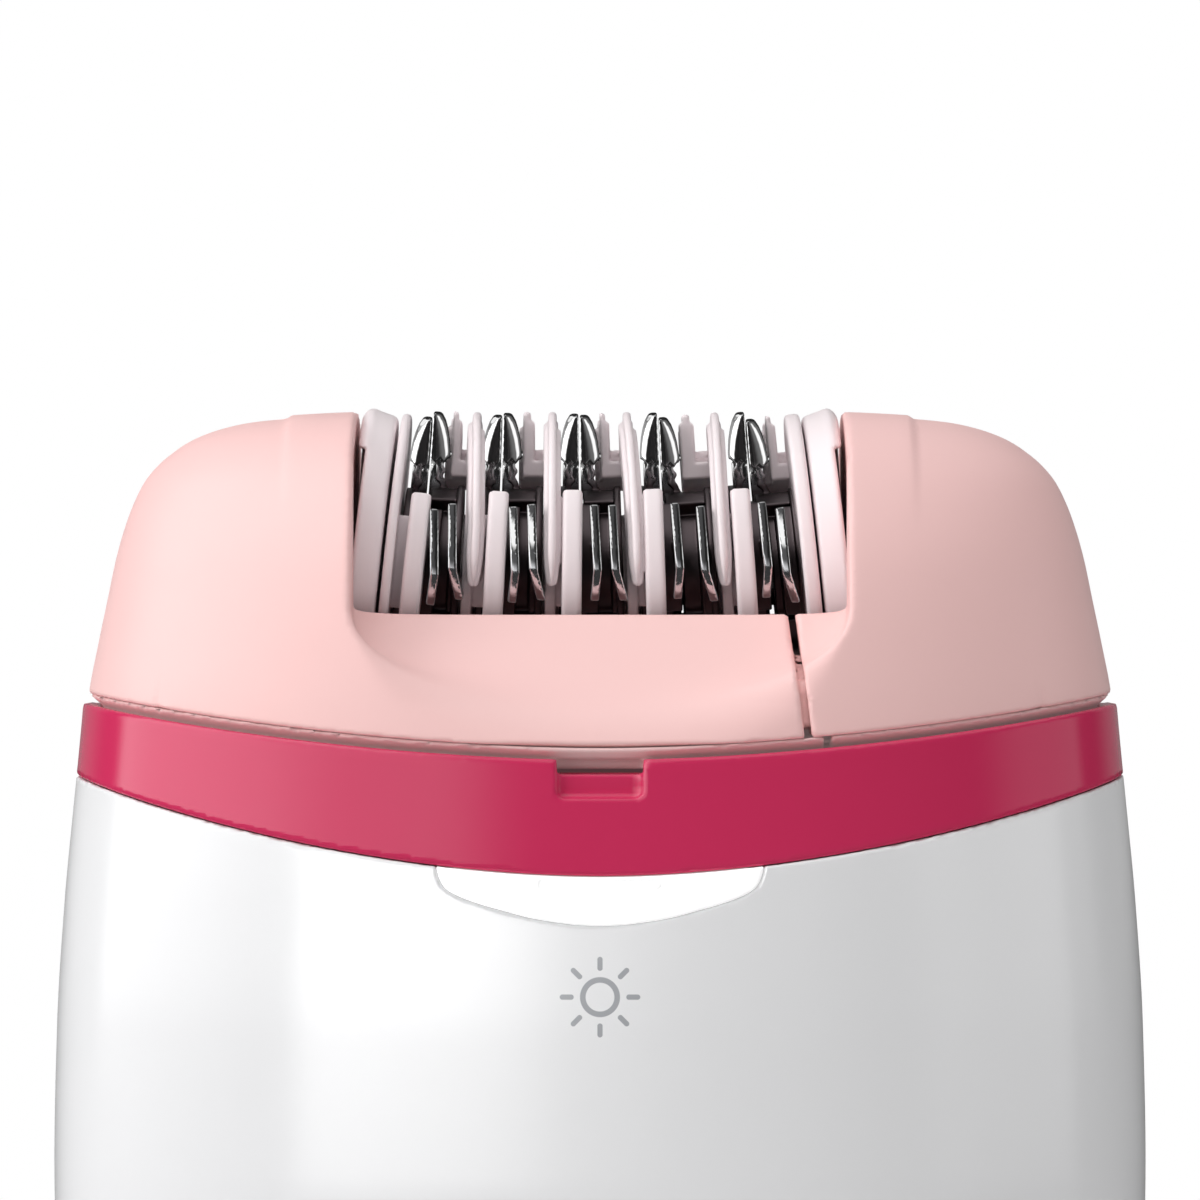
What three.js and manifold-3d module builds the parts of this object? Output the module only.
// A corded compact epilator, 120 mm tall: a curved handle in two shells with a collar, an electric
// motor and a gear train, and a lift-off epilating head whose drum of six tilted discs carries the
// tweezer jaws. Millimetres, +Z up the handle, +X to the right, -Y towards the front. The origin is
// the centre of the flat foot at the bottom of the handle.
import * as THREE from "three";
import { mergeVertices } from "three/addons/utils/BufferGeometryUtils.js";
import Module from "manifold-3d";

const wasm = await Module();
wasm.setup();

// ---------------------------------------------------------------- driving dimensions
const SHELL_WALL = 1.8;
const PLAN_POWER = 2.5; // superellipse power of the plan outline of the handle and head
const FAR = 40; // half-width of cutting blocks, beyond every piece

// Saddle surfaces between handle, collar and head: height in the middle, rise at x = SADDLE_X
const SADDLE_X = 29.6;
const COLLAR_BOTTOM = { middle: 93.17, rise: 5.1, power: 1.85 };
const COLLAR_TOP = { middle: 99.74, rise: 2.95, power: 1.8 };
const HEAD_BOTTOM = { middle: 100.42, rise: 2.9, power: 1.8 };

const DRUM_Z = 110.5; // drum axis
const GEAR_MODULE = 0.6;
const DRUM_TEETH = 20;
const IDLER_TEETH = 14;
const DRIVE_TEETH = 18;
const IDLER_Z = DRUM_Z - (GEAR_MODULE * (DRUM_TEETH + IDLER_TEETH)) / 2;
const DRIVE_Z = IDLER_Z - (GEAR_MODULE * (IDLER_TEETH + DRIVE_TEETH)) / 2;

// Handle: [height, half-width] and [height, half-depth]
const BODY_WIDTHS = [
  [0, 13.5], [0.8, 16.6], [2.5, 19.0], [6, 21.0], [12, 22.9], [20, 24.6], [30, 26.7], [42, 28.9],
  [54, 30.6], [66, 31.7], [76, 32.0], [84, 31.84], [91.2, 31.4], [97, 30.85], [100.6, 30.5],
  [104, 30.2],
];
const BODY_DEPTHS = [
  [0, 8.0], [0.8, 10.0], [2.5, 11.4], [6, 12.6], [12, 13.6], [20, 14.5], [30, 15.5], [42, 16.6],
  [54, 17.6], [66, 18.5], [76, 19.0], [84, 19.0], [92, 18.8], [98, 18.5], [104, 18.2],
];
// Head: the same columns
const HEAD_WIDTHS = [
  [99, 30.4], [103.2, 30.0], [106.4, 29.4], [108.8, 28.9], [111.2, 28.4], [113.5, 27.75],
  [114.7, 27.3], [115.9, 26.7], [117, 25.8], [117.6, 25.1], [118.2, 24.26], [118.8, 22.96],
  [119.4, 20.7], [119.8, 17.8], [120, 14.9],
];
const HEAD_DEPTHS = [
  [99, 18.1], [103, 17.7], [106, 17.2], [108.8, 16.5], [111, 15.7], [113.5, 14.3], [115.9, 12.4],
  [117.6, 10.3], [118.8, 8.0], [119.4, 6.3], [119.8, 4.6], [120, 3.2],
];

// ---------------------------------------------------------------- finishes
const FINISH = {
  shell: { color: 0xf4f4f4, roughness: 0.22 },
  lens: { color: 0xffffff, roughness: 0.25 },
  collar: { color: 0xc8345c, roughness: 0.2 },
  slideButton: { color: 0xc8345c, roughness: 0.3 },
  releaseButton: { color: 0xc8345c, roughness: 0.25 },
  headShell: { color: 0xf6cfcc, roughness: 0.38 },
  headBase: { color: 0xc08f90, roughness: 0.5 },
  disc: { color: 0xeadfe1, roughness: 0.4 },
  jaw: { color: 0xd6d6d8, roughness: 0.12, metalness: 1 },
  chrome: { color: 0xd6d6d8, roughness: 0.2, metalness: 1 },
  steel: { color: 0xb8babd, roughness: 0.35, metalness: 1 },
  spring: { color: 0xb8babd, roughness: 0.3, metalness: 1 },
  brass: { color: 0xc9a24b, roughness: 0.3, metalness: 1 },
  copper: { color: 0xb0653a, roughness: 0.4, metalness: 0.8 },
  magnet: { color: 0x4a4a4c, roughness: 0.6, metalness: 0.4 },
  gear: { color: 0xe9e6da, roughness: 0.5 },
  frame: { color: 0xdfdfe2, roughness: 0.5 },
  black: { color: 0x222225, roughness: 0.5 },
  red: { color: 0xb3202a, roughness: 0.5 },
  board: { color: 0x2c6b45, roughness: 0.6 },
  led: { color: 0xfdfbe8, roughness: 0.2 },
};

// ---------------------------------------------------------------- solids
const rad = THREE.MathUtils.degToRad;
const span = (half, middle = 0) => [middle - half, middle + half];
const unite = (solids) => solids.reduce((a, b) => a.add(b));

// Columns are where the drawing plane's two axes and the extrusion direction go.
const basis = (...columns) =>
  new THREE.Matrix4().makeBasis(...columns.map((column) => new THREE.Vector3(...column)));
const AXES = {
  x: basis([0, 1, 0], [0, 0, 1], [1, 0, 0]),
  y: basis([0, 0, 1], [1, 0, 0], [0, 1, 0]),
  z: new THREE.Matrix4(),
  front: basis([1, 0, 0], [0, 0, 1], [0, -1, 0]), // draw in (x, z), extrude towards -Y
};

// A closed three.js geometry as a manifold-3d solid.
function solid(geometry) {
  const bare = geometry.index ? geometry.toNonIndexed() : geometry;
  for (const key of Object.keys(bare.attributes)) {
    if (key !== "position") bare.deleteAttribute(key);
  }
  const merged = mergeVertices(bare, 1e-4);
  return new wasm.Manifold(
    new wasm.Mesh({
      numProp: 3,
      vertProperties: new Float32Array(merged.attributes.position.array),
      triVerts: new Uint32Array(merged.index.array),
    }),
  );
}

function geometryOf(shape) {
  const { numVert, numProp, vertProperties, triVerts } = shape.getMesh();
  const positions = new Float32Array(numVert * 3);
  for (let i = 0; i < numVert; i++) {
    positions.set(vertProperties.subarray(i * numProp, i * numProp + 3), i * 3);
  }
  const geometry = new THREE.BufferGeometry();
  geometry.setAttribute("position", new THREE.BufferAttribute(positions, 3));
  geometry.setIndex(new THREE.BufferAttribute(new Uint32Array(triVerts), 1));
  return geometry;
}

// A box between [from, to] pairs, then moved by a matrix.
function box([x0, x1], [y0, y1], [z0, z1], placement = AXES.z) {
  const geometry = new THREE.BoxGeometry(x1 - x0, y1 - y0, z1 - z0);
  geometry.translate((x0 + x1) / 2, (y0 + y1) / 2, (z0 + z1) / 2);
  return solid(geometry.applyMatrix4(placement));
}

function rod(axis, [from, to], u, v, radius, segments) {
  const geometry = new THREE.CylinderGeometry(radius, radius, to - from, segments, 1);
  geometry.rotateX(Math.PI / 2).translate(u, v, (from + to) / 2);
  return solid(geometry.applyMatrix4(AXES[axis]));
}
const rodX = (xs, z, radius, segments) => rod("x", xs, 0, z, radius, segments);
const rodY = (ys, x, z, radius, segments) => rod("y", ys, z, x, radius, segments);
const rodZ = (zs, radius, segments, x = 0) => rod("z", zs, x, 0, radius, segments);
// Cutters longer than any piece
const boreX = (z, radius, segments) => rodX(span(FAR), z, radius, segments);
const boreZ = (radius, segments) => rodZ([0, 130], radius, segments);
const tubeX = (xs, z, outer, inner, innerSegments) =>
  rodX(xs, z, outer, 16).subtract(boreX(z, inner, innerSegments));

const shapeOf = (points) => new THREE.Shape(points.map((point) => new THREE.Vector2(...point)));

// An outline extruded along an axis, then moved by a matrix.
function prism(axis, points, [from, to], placement = AXES.z) {
  const options = { depth: to - from, bevelEnabled: false, steps: 1 };
  const geometry = new THREE.ExtrudeGeometry(shapeOf(points), options).translate(0, 0, from);
  return solid(geometry.applyMatrix4(AXES[axis]).applyMatrix4(placement));
}

// A regular section swept along a smooth curve.
function wire(points, radius, sides, steps) {
  const corners = [];
  for (let i = 0; i < sides; i++) {
    const angle = rad((360 / sides) * i);
    corners.push([radius * Math.cos(angle), radius * Math.sin(angle)]);
  }
  const extrudePath = new THREE.CatmullRomCurve3(points.map((p) => new THREE.Vector3(...p)));
  const options = { steps, bevelEnabled: false, extrudePath };
  return solid(new THREE.ExtrudeGeometry(shapeOf(corners), options));
}

// Outline of a ring sector; degrees run from the first axis towards the second.
function sectorOutline(inner, outer, from, to, steps) {
  const at = (radius, i) => {
    const angle = rad(from + ((to - from) * i) / steps);
    return [radius * Math.cos(angle), radius * Math.sin(angle)];
  };
  const points = [];
  for (let i = 0; i <= steps; i++) points.push(at(outer, i));
  for (let i = steps; i >= 0; i--) points.push(at(inner, i));
  return points;
}

// Monotone cubic interpolation through [x, y] pairs, held constant beyond the ends.
function curve(table) {
  const last = table.length - 1;
  const widths = [];
  const chords = [];
  for (let i = 0; i < last; i++) {
    widths.push(table[i + 1][0] - table[i][0]);
    chords.push((table[i + 1][1] - table[i][1]) / widths[i]);
  }
  const slopes = [chords[0]];
  for (let i = 1; i < last; i++) {
    if (chords[i - 1] * chords[i] <= 0) {
      slopes.push(0);
      continue;
    }
    const before = 2 * widths[i] + widths[i - 1];
    const after = widths[i] + 2 * widths[i - 1];
    slopes.push((before + after) / (before / chords[i - 1] + after / chords[i]));
  }
  slopes.push(chords[last - 1]);
  return (x) => {
    if (x <= table[0][0]) return table[0][1];
    if (x >= table[last][0]) return table[last][1];
    let i = 0;
    while (x > table[i + 1][0]) i++;
    const t = (x - table[i][0]) / widths[i];
    const t2 = t * t;
    const t3 = t2 * t;
    return (
      (2 * t3 - 3 * t2 + 1) * table[i][1] +
      (t3 - 2 * t2 + t) * widths[i] * slopes[i] +
      (-2 * t3 + 3 * t2) * table[i + 1][1] +
      (t3 - t2) * widths[i] * slopes[i + 1]
    );
  };
}
const bodyWidth = curve(BODY_WIDTHS);
const bodyDepth = curve(BODY_DEPTHS);
const headWidth = curve(HEAD_WIDTHS);
const headDepth = curve(HEAD_DEPTHS);

// A closed loft of superellipses: a cylinder whose rings are moved to the given levels.
function loft(levels, halfWidth, halfDepth, segments = 32) {
  const intervals = levels.length - 1;
  const geometry = new THREE.CylinderGeometry(1, 1, 1, segments, intervals);
  const position = geometry.attributes.position;
  const bulge = (c) => (Math.abs(c) < 1e-9 ? 0 : Math.sign(c) * Math.abs(c) ** (2 / PLAN_POWER));
  for (let i = 0; i < position.count; i++) {
    const x = position.getX(i);
    const y = position.getZ(i);
    const z = levels[Math.round((position.getY(i) + 0.5) * intervals)];
    const step = Math.round((Math.atan2(x, y) / (2 * Math.PI)) * segments);
    const angle = (step / segments) * 2 * Math.PI;
    if (Math.hypot(x, y) < 0.5) position.setXYZ(i, 0, 0, z); // cap centre
    else {
      const across = halfWidth(z) * bulge(Math.cos(angle));
      position.setXYZ(i, across, halfDepth(z) * bulge(Math.sin(angle)), z);
    }
  }
  return solid(geometry);
}
// The handle's outer form, grown or shrunk all round
const bodyLoft = (levels, grow = 0, segments = 32) =>
  loft(levels, (z) => bodyWidth(z) + grow, (z) => bodyDepth(z) + grow, segments);
const column = (levels, halfWidth, halfDepth) => loft(levels, () => halfWidth, () => halfDepth);

// Everything from a saddle surface to a flat level, as a solid to cut with.
function saddleBlock({ middle, rise, power }, offset, farZ) {
  const geometry = new THREE.BoxGeometry(2 * FAR, 2 * FAR, 1, 14, 1, 1);
  const position = geometry.attributes.position;
  const above = farZ > middle;
  for (let i = 0; i < position.count; i++) {
    const saddleZ = middle + rise * Math.pow(Math.abs(position.getX(i)) / SADDLE_X, power);
    const onSaddle = above ? position.getZ(i) < 0 : position.getZ(i) > 0;
    position.setZ(i, onSaddle ? saddleZ + offset : farZ);
  }
  return solid(geometry);
}
const aboveSaddle = (saddle, offset = 0) => saddleBlock(saddle, offset, 140);
const belowSaddle = (saddle) => saddleBlock(saddle, 0, 60);

// ---------------------------------------------------------------- scene
const root = new THREE.Group();
function addGroup(parent) {
  const group = new THREE.Group();
  parent.add(group);
  return group;
}
function addMesh(parent, name, shape, finish) {
  const part = new THREE.Mesh(geometryOf(shape), new THREE.MeshStandardMaterial({
    color: finish.color,
    roughness: finish.roughness,
    metalness: finish.metalness ?? 0,
  }));
  part.name = name;
  parent.add(part);
}
const handle = addGroup(root);
const head = addGroup(root);
const SIDES = [["left", -1], ["right", 1]];

// ---------------------------------------------------------------- lamp lens
// A crescent in the top edge of the front shell
const LENS = { halfWidth: 9.35, drop: 3.0, power: 2.2, hornZ: 93.3, topZ: 97.5 };

function crescent(grow) {
  const { halfWidth, drop, power, hornZ, topZ } = LENS;
  const points = [];
  for (let i = 0; i <= 16; i++) {
    const x = halfWidth * Math.sin(((-1 + (2 * i) / 16) * Math.PI) / 2);
    // the extra 0.01 keeps the horns just short of vertical
    const fall = drop * (1 - Math.abs(x / (halfWidth + 0.01)) ** power) ** (1 / power);
    points.push([x * (1 + grow / halfWidth), hornZ - fall - grow]);
  }
  points.push([halfWidth + grow, topZ], [-halfWidth - grow, topZ]);
  return points;
}

const lens = prism("front", crescent(0), [12, 30])
  .intersect(bodyLoft([84, 88, 92, 96, 100], 0.15))
  .subtract(bodyLoft([80, 88, 92, 96, 104], -1.7))
  .subtract(aboveSaddle(COLLAR_BOTTOM, -0.15));
addMesh(handle, "light_lens", lens, FINISH.lens);

// ---------------------------------------------------------------- handle shells
const SHELL_GAP = 0.06; // from each shell's edge to the parting plane y = 0
const BOSS_X = 13.5;
const BOSS_Z = 27;
const BOSS_GAP = 0.6; // from each boss's end to the parting plane
const SLIDE_Z = 36; // on/off slide at its lowest position
const SLIDE_TRAVEL = 7;
const SLIDE_LEAN = Math.atan(1 / 12);

// Frame on the leaning front face, centred on the slide's travel
const slideMiddleZ = SLIDE_Z + SLIDE_TRAVEL / 2;
const slideFrame = new THREE.Matrix4()
  .makeTranslation(0, -bodyDepth(slideMiddleZ), slideMiddleZ)
  .multiply(new THREE.Matrix4().makeRotationX(SLIDE_LEAN));
// inner and outer are distances out from the front face, negative inside it
const slideBox = (halfWidth, [inner, outer], zs) =>
  box(span(halfWidth), [-outer, -inner], zs, slideFrame);

function shellScrew(x) {
  return rodY([-8.5, 8.0], x, BOSS_Z, 0.8, 8)
    .add(rodY([6.9, 8.2], x, BOSS_Z, 2.1, 12))
    .subtract(box(span(0.25, x), [7.6, 9], span(1.5, BOSS_Z)));
}

function bothShells() {
  return bodyLoft([0, 0.8, 2.5, 7, 18, 34, 54, 74, 88, 101])
    .subtract(bodyLoft([1.8, 4.5, 18, 34, 54, 74, 88, 103], -SHELL_WALL, 24))
    .subtract(aboveSaddle(COLLAR_BOTTOM, -0.12))
    .subtract(rodZ([-1, 4], 4.3, 20)); // opening for the power socket
}
const shells = bothShells();
const bossLimit = bodyLoft([1.2, 14, 30, 46, 60], -1);

function frontShell() {
  let shell = shells
    .intersect(box(span(FAR), [-FAR, -SHELL_GAP], [-1, 110]))
    .subtract(prism("front", crescent(0.15), [10, 30]))
    .subtract(slideBox(5.6, [-0.75, 6], span(11.2))) // recess
    .subtract(slideBox(1.9, [-6, 6], span(5.4))); // slot
  for (const x of [-BOSS_X, BOSS_X]) {
    shell = shell
      .add(rodY([-25, -BOSS_GAP], x, BOSS_Z, 2.5, 12).intersect(bossLimit))
      .subtract(rodY([-12, 0], x, BOSS_Z, 1.0, 10));
  }
  return shell;
}

function rearShell() {
  let shell = shells.intersect(box(span(FAR), [SHELL_GAP, FAR], [-1, 110]));
  for (const x of [-BOSS_X, BOSS_X]) {
    shell = shell
      .add(rodY([BOSS_GAP, 25], x, BOSS_Z, 3.4, 12).intersect(bossLimit))
      .subtract(rodY([0, 30], x, BOSS_Z, 1.5, 12))
      .subtract(rodY([6.7, 30], x, BOSS_Z, 2.5, 12)); // counterbore for the screw head
  }
  return shell;
}

for (const [name, side] of SIDES) {
  addMesh(handle, `shell_screw_${name}`, shellScrew(side * BOSS_X), FINISH.steel);
}
addMesh(handle, "front_shell", frontShell(), FINISH.shell);
addMesh(handle, "rear_shell", rearShell(), FINISH.shell);

// ---------------------------------------------------------------- collar
const DECK = [97.6, 99.0]; // inner deck, bottom and top

function collarRing() {
  return bodyLoft([90, 98, 105])
    .subtract(aboveSaddle(COLLAR_TOP))
    .subtract(belowSaddle(COLLAR_BOTTOM))
    .subtract(column([DECK[1] - 0.005, 106], 29.4, 17.3)) // bore for the head's plug
    .subtract(column([88, DECK[0]], 28.7, 16.7)) // bore under the deck
    .add(column(DECK, 28.75, 16.75))
    .subtract(box([15.2, 19.8], span(6.6), [90, 103])) // gear window
    .subtract(box(span(4.2), [11.8, 16.0], [94, 103])) // latch slot
    .subtract(box(span(2.4), [-17.75, -16.9], [97.9, 104])) // notch pocket
    .subtract(box(span(2.45), [-25, -16], [98.95, 104])) // thumb notch
    .subtract(box(span(6.2), [16, 25], [94.3, 97.3])); // opening for the release button
}
addMesh(handle, "collar_ring", collarRing(), FINISH.collar);

// ---------------------------------------------------------------- on/off slide and electronics
function slideButton() {
  const low = -SLIDE_TRAVEL / 2;
  return unite([
    slideBox(4.6, [-0.5, 1.6], span(6.2, low)), // cap
    slideBox(1.5, [-3.4, -0.4], span(1.4, low)), // stem
    slideBox(0.8, [-6.3, -3.3], span(1.0, low)), // tongue into the switch
    ...[-2.4, 0, 2.4].map((z) => slideBox(3.2, [1.5, 2.0], span(0.45, low + z))), // grip ribs
  ]);
}
addMesh(addGroup(handle), "slide_button", slideButton(), FINISH.slideButton);

const slideSwitch = slideBox(3.5, [-8.2, -4.6], span(7.5))
  .subtract(slideBox(1.1, [-7.0, -4], span(5.2)));
addMesh(handle, "slide_switch", slideSwitch, FINISH.steel);
addMesh(handle, "circuit_board", slideBox(9.2, [-9.5, -8.35], [-21, 8.6]), FINISH.board);

const powerSocket = rodZ([0.5, 11.5], 4.0, 20)
  .subtract(rodZ([0, 9.5], 2.7, 16))
  .add(rodZ([9.6, 11.5], 5.2, 20)); // flange at the inner end
addMesh(handle, "power_socket", powerSocket, FINISH.black);
addMesh(handle, "socket_pin", rodZ([2.2, 9.3], 0.6, 8), FINISH.chrome);
addMesh(handle, "led_board", box(span(4), [-14.4, -13.4], [84.2, 91.8]), FINISH.board);
addMesh(handle, "led", rodY([-16.2, -14.55], 0, 90, 1.1, 12), FINISH.led);

// ---------------------------------------------------------------- motor
const MOTOR_R = 12;
const MOTOR_Z = [52, 79.5];

function motorCan() {
  const [bottom, top] = MOTOR_Z;
  return rodZ(MOTOR_Z, MOTOR_R, 28)
    .subtract(rodZ([bottom - 1, top - 1], 10.9, 28))
    .add(rodZ([top - 0.5, 81.0], 3.2, 16)) // nose
    .subtract(boreZ(1.5, 12));
}
addMesh(handle, "motor_can", motorCan(), FINISH.steel);

const motorEndCap = rodZ([50.4, 51.8], 11.8, 28)
  .add(rodZ([51.7, 52.8], 10.6, 20))
  .subtract(boreZ(1.4, 12));
addMesh(handle, "motor_end_cap", motorEndCap, FINISH.black);

for (const [name, side] of SIDES) {
  const facing = side < 0 ? 180 : 0;
  const outline = sectorOutline(8.9, 10.6, facing - 60, facing + 60, 8);
  addMesh(handle, `motor_magnet_${name}`, prism("z", outline, [55, 77]), FINISH.magnet);
}

// Six slots are cut lengthwise in the armature's rim.
function motorArmature() {
  const slots = [0, 60, 120, 180, 240, 300].map((angle) =>
    box([6.7, 9.7], span(0.7), [51, 81], new THREE.Matrix4().makeRotationZ(rad(angle))));
  return rodZ([57, 75], 7.9, 18).subtract(boreZ(1.15, 12)).subtract(unite(slots));
}
const rotor = addGroup(handle);
addMesh(rotor, "motor_shaft", rodZ([48.9, 86.3], 1.0, 12), FINISH.chrome);
addMesh(rotor, "motor_armature", motorArmature(), FINISH.copper);

// ---------------------------------------------------------------- gear train in the handle
const SPUR_X = [16.3, 18.7];
const SPUR_THICK = 0.41; // tooth thickness as a share of the pitch
const PINION_THICK = 0.36;
const CROWN_MODULE = 0.5;
const CROWN_TEETH = 24;
const PINION_TEETH = 8;
const CROWN_PLANE_X = (CROWN_MODULE * PINION_TEETH) / 2; // pitch plane of the crown's teeth
const DRIVE_BORE_R = 1.32; // bore of the gears on the drive shaft

// Four points a tooth, with one tooth centred on the first axis turned by phase.
function gearOutline(teeth, module, thick, phase) {
  const pitchRadius = (module * teeth) / 2;
  const pitch = (2 * Math.PI) / teeth;
  const rootRadius = pitchRadius - 1.12 * module;
  const tipRadius = pitchRadius + 0.85 * module;
  const corners = [
    [rootRadius, -0.5 * thick - 0.1],
    [tipRadius, -0.5 * thick + 0.12],
    [tipRadius, 0.5 * thick - 0.12],
    [rootRadius, 0.5 * thick + 0.1],
  ];
  const points = [];
  for (let i = 0; i < teeth; i++) {
    for (const [radius, share] of corners) {
      const angle = i * pitch + phase + share * pitch;
      points.push([radius * Math.cos(angle), radius * Math.sin(angle)]);
    }
  }
  return points;
}

function spurGear(teeth, axisZ, phase, boreRadius) {
  const outline = gearOutline(teeth, GEAR_MODULE, SPUR_THICK, phase);
  const placed = outline.map(([y, z]) => [y, z + axisZ]);
  return prism("x", placed, SPUR_X).subtract(boreX(axisZ, boreRadius, 12));
}

// A wedge ridge on the crown's left face, centred on +Z before it is turned by angle.
function crownTooth(angle) {
  const geometry = new THREE.BoxGeometry(1, 1, 1);
  const position = geometry.attributes.position;
  for (let i = 0; i < position.count; i++) {
    const tip = position.getX(i) < 0;
    const radius = position.getZ(i) > 0 ? 6.62 : 5.3;
    const half = ((tip ? 0.125 : 0.295) * 2 * Math.PI * radius) / CROWN_TEETH;
    const x = tip ? CROWN_PLANE_X - 0.42 : 2.75;
    position.setXYZ(i, x, Math.sign(position.getY(i)) * half, radius);
  }
  geometry.applyMatrix4(new THREE.Matrix4().makeRotationX(angle)).translate(0, 0, DRIVE_Z);
  return solid(geometry);
}

function crownGear() {
  let crown = rodX([2.6, 4.3], DRIVE_Z, 6.7, 32).add(rodX([4.2, 6.5], DRIVE_Z, 2.6, 16));
  for (let i = 0; i < CROWN_TEETH; i++) {
    // the half step turns a gap between two ridges to the pinion below
    crown = crown.add(crownTooth(((i + 0.5) * 2 * Math.PI) / CROWN_TEETH));
  }
  return crown.subtract(boreX(DRIVE_Z, DRIVE_BORE_R, 12));
}

// A plate above the motor with two posts that hold the drive shaft's bushes.
function gearboxFrame() {
  let frame = box([-12.5, 22.2], span(8.5), [81.25, 82.55])
    .subtract(boreZ(3.45, 16))
    .subtract(box([8.4, 20.1], span(6.2), [80, 84]));
  for (const x of [7.0, 20.3]) {
    frame = frame
      .add(box([x, x + 1.8], span(4.5), [82.4, 94.6]))
      .subtract(rodX([x - 1, x + 3], DRIVE_Z, 2.3, 16));
  }
  return frame;
}

const motorPinion = prism(
  "z", gearOutline(PINION_TEETH, CROWN_MODULE, PINION_THICK, 0), [83.75, 85.5],
).subtract(boreZ(1.12, 10));
addMesh(rotor, "motor_pinion", motorPinion, FINISH.brass);

const drive = addGroup(handle);
const driveGear = spurGear(DRIVE_TEETH, DRIVE_Z, Math.PI / 2, DRIVE_BORE_R);
addMesh(drive, "drive_shaft", rodX([3.2, 23.4], DRIVE_Z, 1.2, 12), FINISH.chrome);
addMesh(drive, "crown_gear", crownGear(), FINISH.gear);
addMesh(drive, "drive_gear", driveGear, FINISH.gear);
addMesh(handle, "gearbox_frame", gearboxFrame(), FINISH.frame);
for (const [name, xs] of [["inner", [6.9, 8.9]], ["outer", [20.2, 22.2]]]) {
  addMesh(handle, `drive_bush_${name}`, tubeX(xs, DRIVE_Z, 2.15, 1.3, 12), FINISH.brass);
}

// Motor leads, from the circuit board to the end cap
const LEAD_PATH = [[6, -5.9, 36], [7.5, -3.5, 39.5], [8, -0.8, 44.5], [7, 0, 50.1]];
for (const [name, side] of [["red", -1], ["black", 1]]) {
  const path = LEAD_PATH.map(([x, y, z]) => [side * x, y, z]);
  addMesh(handle, `motor_lead_${name}`, wire(path, 0.5, 6, 8), FINISH[name]);
}

// ---------------------------------------------------------------- head release, at the back
function releaseButton() {
  return bodyLoft([94.6, 97.0], 0.3)
    .intersect(box(span(5.9), [17.0, 25], [94, 98])) // curved face
    .add(box(span(7.2), [15.2, 16.2], [94.1, 97.2])) // flange inside the collar
    .add(box(span(5.9), [15.5, 17.6], [94.6, 97.0]))
    .add(box(span(3.0), [13.7, 15.4], [95.2, 96.9]))
    .add(box(span(3.0), [13.7, 14.7], [96.8, 101.6])); // latch
}

// Three turns running inwards from the button, with the button end cut flat
function releaseSpring() {
  const coilRadius = 1.15;
  const path = [];
  for (let i = 0; i <= 24; i++) {
    const angle = (i * 2 * Math.PI) / 8;
    const z = 96.0 + coilRadius * Math.sin(angle);
    path.push([coilRadius * Math.cos(angle), 13.5 - i * 0.12, z]);
  }
  return wire(path, 0.2, 4, 24).intersect(box(span(5), [10, 13.6], [90, 97.5]));
}
const release = addGroup(handle);
addMesh(release, "release_button", releaseButton(), FINISH.releaseButton);
addMesh(release, "release_spring", releaseSpring(), FINISH.spring);

// ---------------------------------------------------------------- head housing
const HEAD_SIDE_WALL = 1.6;
const HEAD_FRONT_WALL = 1.0; // front and back
const HEAD_SCREW_X = 24.5;
const SCOOP_W = 14.9; // half-width

// The scoops between the shoulders, in front of and behind the drum: the floor falls from the
// window sill to the outer face. grow deepens the floor.
function scoopPair(halfWidth, grow) {
  const edgeZ = 108.8;
  const sillDrop = 0.85;
  const sillY = 11.3; // distance from the middle plane at which the floor starts to fall
  const distances = [26, sillY, 10.0];
  const geometry = new THREE.BoxGeometry(2, 1, 1, 12, 2, 1);
  const position = geometry.attributes.position;
  for (let i = 0; i < position.count; i++) {
    const distance = distances[Math.round((position.getY(i) + 0.5) * 2)];
    const x = halfWidth * Math.sin((position.getX(i) * Math.PI) / 2);
    const drop = sillDrop + Math.max(0, distance - sillY) + grow;
    const power = distance <= sillY ? 6 : 2.3; // straight along the sill, rounder outside
    const arch = Math.max(0, 1 - Math.abs(x / halfWidth) ** power) ** (1 / power);
    if (position.getZ(i) > 0) position.setXYZ(i, x * (1 - 0.045), -distance, 130);
    else position.setXYZ(i, x, -distance, edgeZ - drop * arch);
  }
  const frontScoop = solid(geometry);
  const halfTurn = new THREE.Matrix4().makeRotationZ(Math.PI);
  return frontScoop.add(solid(geometry.applyMatrix4(halfTurn)));
}

// A block about the middle, tapering upwards in width
const taperBlock = (bottomHalf, bottomZ, topHalf, topZ, halfDepth) =>
  prism("front", [
    [-bottomHalf, bottomZ], [bottomHalf, bottomZ], [topHalf, topZ], [-topHalf, topZ],
  ], span(halfDepth));

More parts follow.
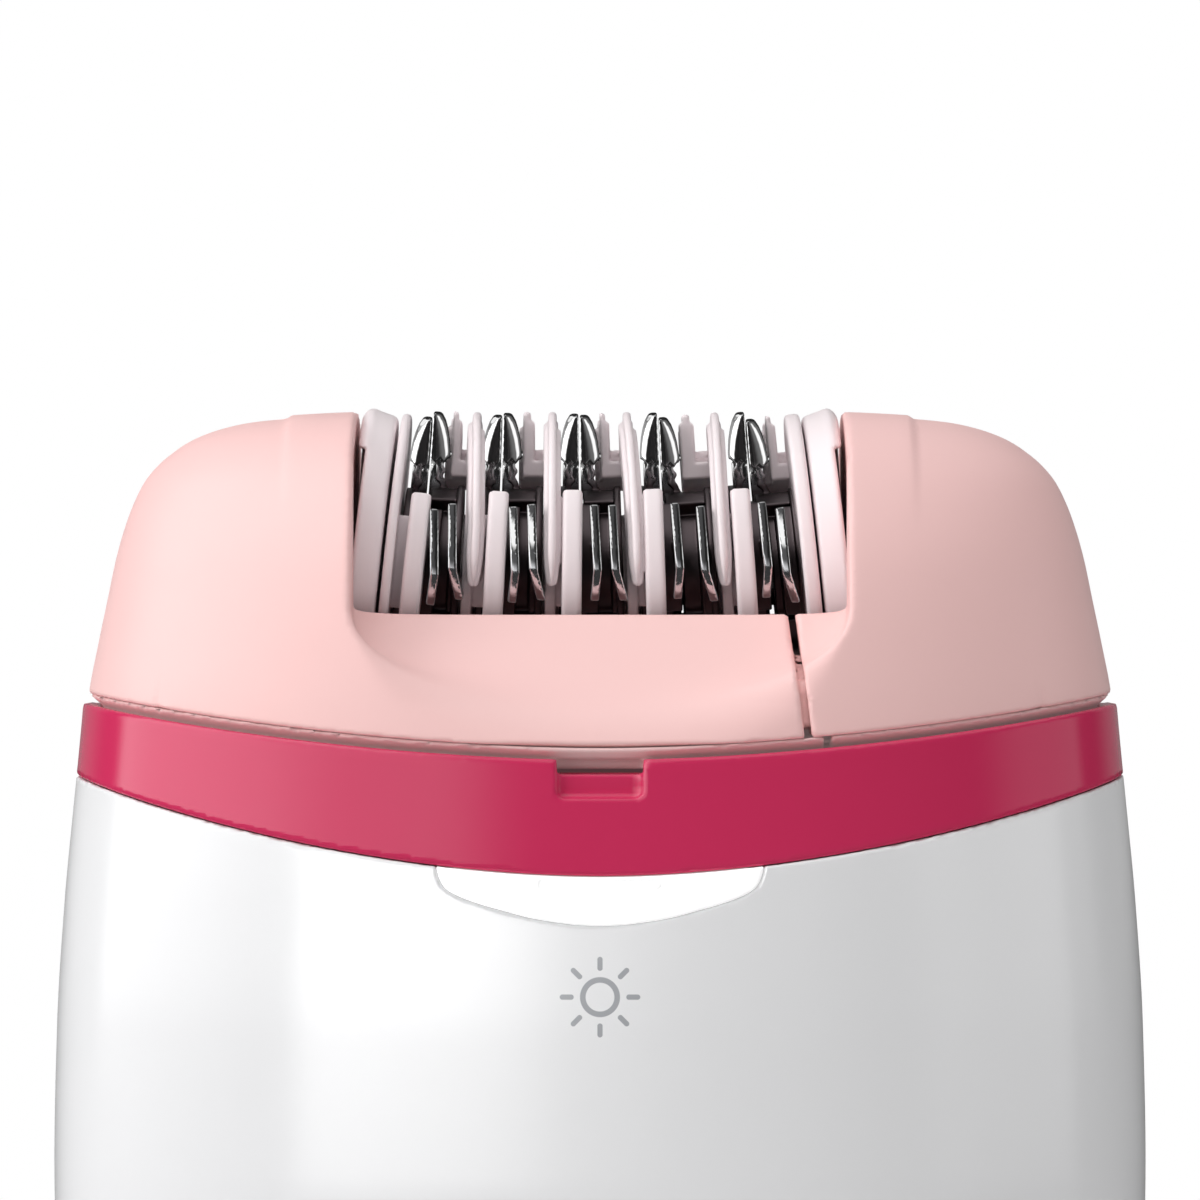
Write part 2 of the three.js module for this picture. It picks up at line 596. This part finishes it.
function headHousing() {
  const outer = loft(
    [98, 104, 108.8, 112.5, 115.3, 117.3, 118.6, 119.4, 120], headWidth, headDepth, 36,
  );
  // sampled 1 mm higher, to leave a wall under the narrowing top
  const inner = loft(
    [96, 104, 109, 113, 115.5, 118.2],
    (z) => headWidth(z + 1.0) - HEAD_SIDE_WALL,
    (z) => headDepth(z + 1.0) - HEAD_FRONT_WALL,
    20,
  );
  const drumPocket = taperBlock(15.5, 98, 13.95, 121, 10.2)
    .add(box(span(15.2), span(10.2), [98, 101]));
  const pocketWalls = taperBlock(16.7, 90, 15.15, 122, 10.9).subtract(drumPocket);
  const cavity = inner.subtract(scoopPair(SCOOP_W + 1.2, 1.35)).subtract(pocketWalls);
  let housing = outer
    .subtract(belowSaddle(HEAD_BOTTOM))
    .subtract(scoopPair(SCOOP_W, 0))
    .subtract(cavity)
    .subtract(drumPocket)
    .subtract(rodX(span(17.5), DRUM_Z, 2.7, 16));
  for (const x of [-HEAD_SCREW_X, HEAD_SCREW_X]) {
    housing = housing
      .add(rodZ([102.0, 117.2], 1.9, 10, x).intersect(outer))
      .subtract(rodZ([99, 109], 0.95, 8, x));
  }
  return housing.subtract(box([16.0, 19.0], span(6.8), [98, 117.2])); // clear of the gears
}

// Everything right of the leaning joint between housing and end cap
function rightOfJoint(gap) {
  const x = 10.79 + gap;
  const outline = [[x, 108], [x - 1.2, 121], [60, 121], [60, 96], [x + 1.43, 96]];
  return prism("front", outline, span(FAR));
}
const housing = headHousing();
addMesh(head, "head_housing", housing.subtract(rightOfJoint(0)), FINISH.headShell);
addMesh(head, "head_end_cap", housing.intersect(rightOfJoint(0.42)), FINISH.headShell);

// ---------------------------------------------------------------- head base
const PLUG_FLOOR = [99.2, 100.6];
const PLUG_A = 29.1; // half-width of the plug
const PLUG_B = 17.0; // half-depth
const PLUG_WALL = 1.2;
const BEARING_R = 2.5;
const JOURNAL_BORE_R = 1.62; // bore of the bearings and gear on the drum shaft

function headBase() {
  const rim = column([PLUG_FLOOR[0], 101.5, 104.5], PLUG_A, PLUG_B)
    .subtract(column([98, 106], PLUG_A - PLUG_WALL, PLUG_B - PLUG_WALL));
  let base = column(PLUG_FLOOR, PLUG_A, PLUG_B)
    .add(rim)
    .subtract(aboveSaddle(HEAD_BOTTOM, -0.1))
    .subtract(box([15.7, 19.2], span(6.9), [98, 103])) // slot for the idler gear
    .subtract(box(span(2.45), [-18, -16.2], [98, 99.75])) // behind the collar's notch
    .subtract(box(span(3.4), [12.0, 15.1], [98, 101.9])); // latch slot
  for (const x of [-HEAD_SCREW_X, HEAD_SCREW_X]) {
    base = base
      .subtract(rodZ([98, 105], 1.05, 8, x))
      .subtract(rodZ([98, 99.9], 1.95, 12, x));
  }
  // arms for the drum bearings
  for (const [x0, x1] of [[-18.4, -16.5], [19.3, 21.2]]) {
    base = base
      .add(box([x0, x1], span(4.2), [100.0, 114.6]))
      .subtract(rodX([x0 - 1, x1 + 1], DRUM_Z, BEARING_R + 0.15, 16));
  }
  // post for the idler pin, and the pin's hole through post and right arm
  return base
    .add(box([14.0, 15.0], span(3), [100.0, 102.4]))
    .subtract(rodX([13, 30], IDLER_Z, 1.05, 10));
}
addMesh(head, "head_base", headBase(), FINISH.headBase);

for (const [name, side] of SIDES) {
  const x = side * HEAD_SCREW_X;
  const screw = rodZ([99.25, 99.8], 1.75, 12, x).add(rodZ([99.7, 107.5], 0.8, 8, x));
  addMesh(head, `head_screw_${name}`, screw, FINISH.steel);
}
for (const [name, xs] of [["left", [-18.6, -16.3]], ["right", [19.1, 21.4]]]) {
  const bearing = tubeX(xs, DRUM_Z, BEARING_R, JOURNAL_BORE_R, 16);
  addMesh(head, `bearing_${name}`, bearing, FINISH.brass);
}
addMesh(head, "idler_pin", rodX([14.1, 21.0], IDLER_Z, 0.9, 10), FINISH.chrome);
const idlerGear = spurGear(IDLER_TEETH, IDLER_Z, Math.PI / 2 + Math.PI / IDLER_TEETH, 1.05);
addMesh(addGroup(head), "idler_gear", idlerGear, FINISH.gear);

// ---------------------------------------------------------------- end covers
// Fixed leaning plates at both ends of the drum
const COVER = { x: 13.65, radius: 9.45, thickness: 1.45, tilt: 6.0 };
for (const [name, side] of SIDES) {
  const group = addGroup(head);
  group.position.set(side * COVER.x, 0, DRUM_Z);
  group.rotation.y = -side * rad(COVER.tilt);
  const cover = rodX(span(COVER.thickness / 2), 0, COVER.radius, 36)
    .subtract(boreX(0, 2.75, 16))
    .subtract(box(span(3), span(12), [-12, -7.0])); // flat at the bottom
  addMesh(group, `end_cover_${name}`, cover, FINISH.disc);
}

// ---------------------------------------------------------------- drum shaft and gear
const JOURNAL_R = 1.5;
const drumShaft = rodX(span(15.9), DRUM_Z, 2.0, 6) // hexagonal between the journals
  .add(rodX([-19.6, -15.8], DRUM_Z, JOURNAL_R, 12))
  .add(rodX([15.8, 22.2], DRUM_Z, JOURNAL_R, 12));
const drumGear = spurGear(DRUM_TEETH, DRUM_Z, -Math.PI / 2, JOURNAL_BORE_R);
const drum = addGroup(head);
addMesh(drum, "drum_shaft", drumShaft, FINISH.chrome);
addMesh(drum, "drum_gear", drumGear, FINISH.gear);

// ---------------------------------------------------------------- discs and jaws
// In a disc's own frame the axis is X, and an angle runs from the top (+Z) towards the front (-Y).
// Lists run from the left; x distances in them are from the disc on the left of each gap.
const DISC_TILT = [-6.0, -3.0, -0.6, 1.8, 3.8, 5.8]; // degrees
const DISC_TOP_X = [-11.38, -7.2, -2.79, 1.56, 6.7, 11.5]; // disc plane at DISC_TOP_R over the axis
const DISC_TOP_R = 9.3;
const DRUM_R = 9.35; // over the disc rims
const RIM_X = [1.56, 1.25, 1.26, 1.5, 1.4]; // guard rims
const ROW_A = { angles: [-12, 168], pinchX: [1.56, 1.47, 1.53, 1.79, 1.76], gap: 0.12 };
const ROW_B = { angles: [78, 258], pinchX: [2.72, 2.85, 2.85, 3.5, 3.2], gap: 0.25 };
const STRIP = 0.42; // sheet thickness at the jaw
const JAW_HALF = 2.1; // half-length of the pinching edge
const PLATE_X = 0.6; // where a jaw's foot meets its plate

// Two ring sectors, half a turn apart.
function arcPair([inner, outer], start, sweep, xs) {
  const steps = Math.ceil(sweep / 17);
  return unite([start + 90, start + 270].map((from) =>
    prism("x", sectorOutline(inner, outer, from, from + sweep, steps), xs)));
}

function discSolid(k) {
  const first = k === 0;
  const last = k === 5;
  const web = span(0.36);
  let disc;
  if (first || last) disc = rodX(web, 0, 9.3, 28);
  else disc = rodX(web, 0, 7.0, 16).add(arcPair([6.5, DRUM_R], -20, 109, web));
  disc = disc.add(rodX([first ? -0.36 : -1.35, last ? 0.36 : 1.35], 0, 3.3, 12)); // hub
  // arcs on either side that guard the neighbouring jaws
  if (!last) {
    disc = disc
      .add(arcPair([5.5, 9.2], 59, 50, span(0.58, RIM_X[k])))
      .add(arcPair([5.5, 6.6], 59, 50, [0, RIM_X[k]]));
  }
  if (!first) {
    disc = disc
      .add(arcPair([5.5, 8.9], -31, 31, [-1.7, -0.8]))
      .add(arcPair([8.8, DRUM_R], -31, 31, [-1.5, -1.0]))
      .add(arcPair([5.5, 6.6], -31, 31, [-1, 0]));
  }
  return disc.subtract(boreX(0, 2.5, 6)); // hexagonal
}

// One jaw: a strip standing on the jaw plate, with a flared leg at its leading end. side is the
// side of the disc it stands on and looks towards, reach its pinching face's distance from the
// disc. With a lean the leg is plain and leans back by it; with null it is a bulging petal.
function jaw(side, reach, angle, lean) {
  const turn = new THREE.Matrix4().makeRotationX(rad(angle));
  const place = ([x, other]) => [side * (reach + x), other];
  const foot = Math.min(PLATE_X - reach, -STRIP);
  // [x from the pinching face, radius]
  const strip = [
    [0, 9.1], [-0.3, 9.1], [-STRIP, 8.8], [-STRIP, 4.9], [foot, 4.9], [foot, 4.2], [0, 4.2],
  ];
  const standing = prism("front", strip.map(place), span(JAW_HALF), turn);
  if (lean === null) {
    const petal = [
      [0, 8.7], [-0.42, 8.7], [-0.73, 8.35], [-1.0, 7.5], [-1.05, 6.3], [-0.7, 6.3],
      [-0.62, 7.3], [-0.35, 8.0], [0, 8.3],
    ];
    const reachAlong = [JAW_HALF - 0.1, JAW_HALF + 1.6];
    return standing.add(prism("front", petal.map(place), reachAlong, turn));
  }
  // [x from the pinching face, y]
  const plain = [
    [0, 0.1 - JAW_HALF], [0, -JAW_HALF], [-lean, -3.9], [-lean - STRIP, -3.9],
    [-STRIP, 0.1 - JAW_HALF],
  ];
  return standing.add(prism("z", plain.map(place), [6.95, 8.45], turn));
}

// A ring round the hub with four bent-up jaws
function jawPlate(side, reachA, reachB, leanB) {
  return unite([
    rodX(span(0.2, side * 0.7), 0, 5.0, 14).subtract(boreX(0, 3.5, 14)),
    ...ROW_A.angles.map((angle) => jaw(side, reachA, angle, null)),
    ...ROW_B.angles.map((angle) => jaw(side, reachB, angle, leanB)),
  ]);
}

for (let k = 0; k < 6; k++) {
  const tilt = rad(DISC_TILT[k]);
  const group = addGroup(head);
  group.position.set(DISC_TOP_X[k] + DISC_TOP_R * Math.tan(tilt), 0, DRUM_Z);
  group.rotation.y = -tilt;
  addMesh(group, `disc_${k + 1}`, discSolid(k), FINISH.disc);
  if (k < 5) {
    const plate = jawPlate(1, ROW_A.pinchX[k], ROW_B.pinchX[k], 0.1);
    addMesh(group, `jaws_right_of_disc_${k + 1}`, plate, FINISH.jaw);
  }
  if (k > 0) {
    const pitch = DISC_TOP_X[k] - DISC_TOP_X[k - 1];
    const reachOf = (row) => pitch - row.pinchX[k - 1] - row.gap;
    const plate = jawPlate(-1, reachOf(ROW_A), reachOf(ROW_B), 0.3);
    addMesh(group, `jaws_left_of_disc_${k + 1}`, plate, FINISH.jaw);
  }
}

export default root;
